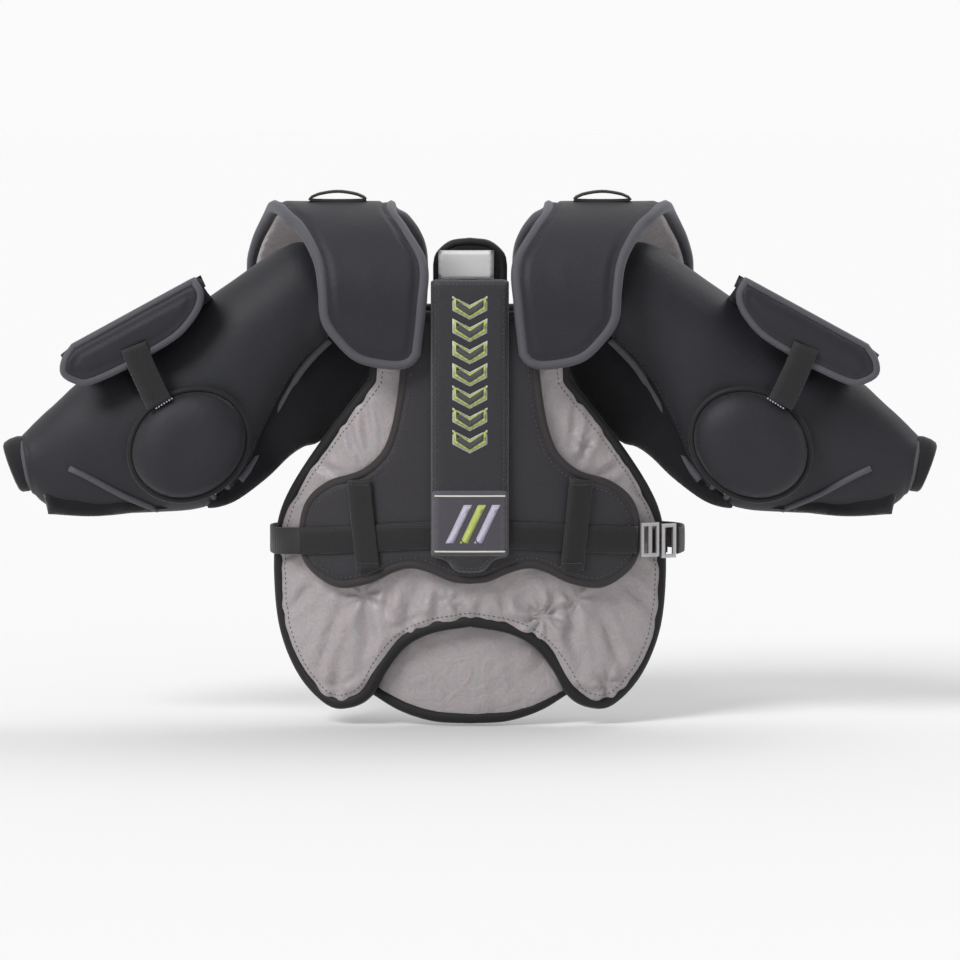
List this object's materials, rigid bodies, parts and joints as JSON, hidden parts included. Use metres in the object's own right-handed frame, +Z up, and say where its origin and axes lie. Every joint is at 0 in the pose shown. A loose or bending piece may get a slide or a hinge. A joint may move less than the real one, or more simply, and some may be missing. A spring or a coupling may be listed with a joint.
{
  "type": "hockey goalie chest and arm protector",
  "caption": "Padded chest-and-arm protector with arched shoulder caps, floating chest plate, belly pad and jointed sleeves with elbow caps.",
  "frame": {"origin": "where the wearer's neck meets the shoulders, on the middle plane", "axes": "+Z up along the spine, -Y to the front, +X to the wearer's left"},
  "size_m": [0.935, 0.21, 0.5287],
  "materials": {
    "silver_nylon": "satin coated nylon",
    "body_binding": "woven tape",
    "foam": "closed-cell foam",
    "charcoal_fabric": "matte nylon",
    "plate_binding": "woven tape",
    "embroidery": "stitched",
    "patch_fabric": "matte",
    "webbing": "ribbed",
    "buckle_metal": "satin",
    "black_mesh": "knit",
    "label_cloth": "printed satin",
    "black_fabric": "smooth coated",
    "piping": "rolled tape",
    "plastic_insert": "moulded",
    "cuff_fabric": "knit"
  },
  "bodies": {
    "torso": {"belly_pad": "silver_nylon", "belly_pad_binding": "body_binding", "belly_pad_foam": "foam", "chest_plate": "charcoal_fabric", "chest_plate_binding": "plate_binding", "chest_plate_foam": "foam", "chest_belt": "webbing", "belt_keepers": "webbing", "side_straps": "webbing", "buckle_loop": "buckle_metal", "shoulder_yokes": "black_mesh"},
    "sternum": {"sternum_strip": "charcoal_fabric", "sternum_strip_foam": "foam", "sternum_graphic": "embroidery", "front_patch": "patch_fabric"},
    "lower_flap": {"lower_panel": "silver_nylon", "lower_panel_binding": "body_binding"},
    "back": {"back_panel": "black_mesh", "back_panel_binding": "body_binding", "neck_label": "label_cloth"},
    "slide": {"belt_slide": "buckle_metal"},
    "hook": {"belt_hook_end": "webbing"},
    "cap_left": {"shoulder_cap_left": "black_fabric", "shoulder_cap_piping_left": "piping", "shoulder_cap_insert_left": "plastic_insert", "cap_webbing_loop_left": "webbing"},
    "sling_left": {"shoulder_lace_left": "webbing"},
    "upper_arm_left": {"upper_arm_pad_left": "black_fabric", "upper_arm_pad_piping_left": "piping", "upper_arm_pad_foam_left": "foam", "arm_gusset_left": "black_mesh", "bicep_strap_left": "webbing"},
    "elbow_left": {"elbow_cap_left": "black_fabric", "elbow_cup_left": "plastic_insert"},
    "forearm_left": {"forearm_pad_left": "black_fabric", "forearm_pad_foam_left": "foam", "forearm_strap_left": "webbing", "wrist_cuff_left": "cuff_fabric"},
    "flap_left": {"bicep_flap_left": "black_fabric", "flap_strap_left": "webbing"},
    "wrist_left": {"wrist_strap_left": "webbing"},
    "cap_right": {"shoulder_cap_right": "black_fabric", "shoulder_cap_piping_right": "piping", "shoulder_cap_insert_right": "plastic_insert", "cap_webbing_loop_right": "webbing"},
    "sling_right": {"shoulder_lace_right": "webbing"},
    "upper_arm_right": {"upper_arm_pad_right": "black_fabric", "upper_arm_pad_piping_right": "piping", "upper_arm_pad_foam_right": "foam", "arm_gusset_right": "black_mesh", "bicep_strap_right": "webbing"},
    "elbow_right": {"elbow_cap_right": "black_fabric", "elbow_cup_right": "plastic_insert"},
    "forearm_right": {"forearm_pad_right": "black_fabric", "forearm_pad_foam_right": "foam", "forearm_strap_right": "webbing", "wrist_cuff_right": "cuff_fabric"},
    "flap_right": {"bicep_flap_right": "black_fabric", "flap_strap_right": "webbing"},
    "wrist_right": {"wrist_strap_right": "webbing"}
  },
  "joints": [
    {"name": "sternum_lift", "type": "hinge", "parent": "torso", "child": "sternum", "pos_m": [0, -0.0758, -0.0302], "axis": [-1, 0, 0], "range_deg": [0, 20]},
    {"name": "lower_panel_fold", "type": "hinge", "parent": "torso", "child": "lower_flap", "pos_m": [0, -0.0415, -0.32], "axis": [1, 0, 0], "range_deg": [0, 30]},
    {"name": "back_panel_open", "type": "hinge", "parent": "torso", "child": "back", "pos_m": [0, 0.0784, 0], "axis": [1, 0, 0], "range_deg": [0, 35]},
    {"name": "belt_slide_travel", "type": "slide", "parent": "torso", "child": "slide", "axis": [0.891, 0.454, 0], "range_m": [-0.002, 0.001]},
    {"name": "belt_hook_draw", "type": "slide", "parent": "torso", "child": "hook", "axis": [0.891, 0.454, 0], "range_m": [0, 0.01]},
    {"name": "cap_lift_left", "type": "hinge", "parent": "torso", "child": "cap_left", "pos_m": [0.044, 0.015, -0.014], "axis": [0, -1, 0], "range_deg": [0, 30]},
    {"name": "arm_swing_left", "type": "hinge", "parent": "torso", "child": "sling_left", "pos_m": [0.14, 0.024, -0.06], "axis": [0, 0, -1], "range_deg": [0, 20]},
    {"name": "arm_raise_left", "type": "hinge", "parent": "sling_left", "child": "upper_arm_left", "pos_m": [0.14, 0.024, -0.06], "axis": [0, -1, 0], "range_deg": [0, 40]},
    {"name": "elbow_bend_left", "type": "hinge", "parent": "upper_arm_left", "child": "forearm_left", "pos_m": [0.2835, 0.022, -0.1876], "axis": [0.5519, 0, 0.8339], "range_deg": [0, 70]},
    {"name": "elbow_cap_float_left", "type": "hinge", "parent": "upper_arm_left", "child": "elbow_left", "pos_m": [0.2835, 0.022, -0.1876], "axis": [0.5519, 0, 0.8339], "range_deg": [0, 35]},
    {"name": "flap_lift_left", "type": "hinge", "parent": "upper_arm_left", "child": "flap_left", "pos_m": [0.3325, -0.059, -0.063], "axis": [-0.8779, 0, 0.4789], "range_deg": [0, 70]},
    {"name": "wrist_strap_open_left", "type": "hinge", "parent": "forearm_left", "child": "wrist_left", "pos_m": [0.4619, 0.022, -0.1958], "axis": [0.9367, 0, -0.3502], "range_deg": [0, 60]},
    {"name": "cap_lift_right", "type": "hinge", "parent": "torso", "child": "cap_right", "pos_m": [-0.044, 0.015, -0.014], "axis": [0, 1, 0], "range_deg": [0, 30]},
    {"name": "arm_swing_right", "type": "hinge", "parent": "torso", "child": "sling_right", "pos_m": [-0.14, 0.024, -0.06], "axis": [0, 0, 1], "range_deg": [0, 20]},
    {"name": "arm_raise_right", "type": "hinge", "parent": "sling_right", "child": "upper_arm_right", "pos_m": [-0.14, 0.024, -0.06], "axis": [0, 1, 0], "range_deg": [0, 40]},
    {"name": "elbow_bend_right", "type": "hinge", "parent": "upper_arm_right", "child": "forearm_right", "pos_m": [-0.2835, 0.022, -0.1876], "axis": [0.5519, 0, -0.8339], "range_deg": [0, 70]},
    {"name": "elbow_cap_float_right", "type": "hinge", "parent": "upper_arm_right", "child": "elbow_right", "pos_m": [-0.2835, 0.022, -0.1876], "axis": [0.5519, 0, -0.8339], "range_deg": [0, 35]},
    {"name": "flap_lift_right", "type": "hinge", "parent": "upper_arm_right", "child": "flap_right", "pos_m": [-0.3325, -0.059, -0.063], "axis": [-0.8779, 0, -0.4789], "range_deg": [0, 70]},
    {"name": "wrist_strap_open_right", "type": "hinge", "parent": "forearm_right", "child": "wrist_right", "pos_m": [-0.4619, 0.022, -0.1958], "axis": [0.9367, 0, 0.3502], "range_deg": [0, 60]}
  ],
  "couplings": [
    {"joint": "elbow_cap_float_left", "follows": "elbow_bend_left", "ratio": 0.5},
    {"joint": "elbow_cap_float_right", "follows": "elbow_bend_right", "ratio": 0.5}
  ]
}
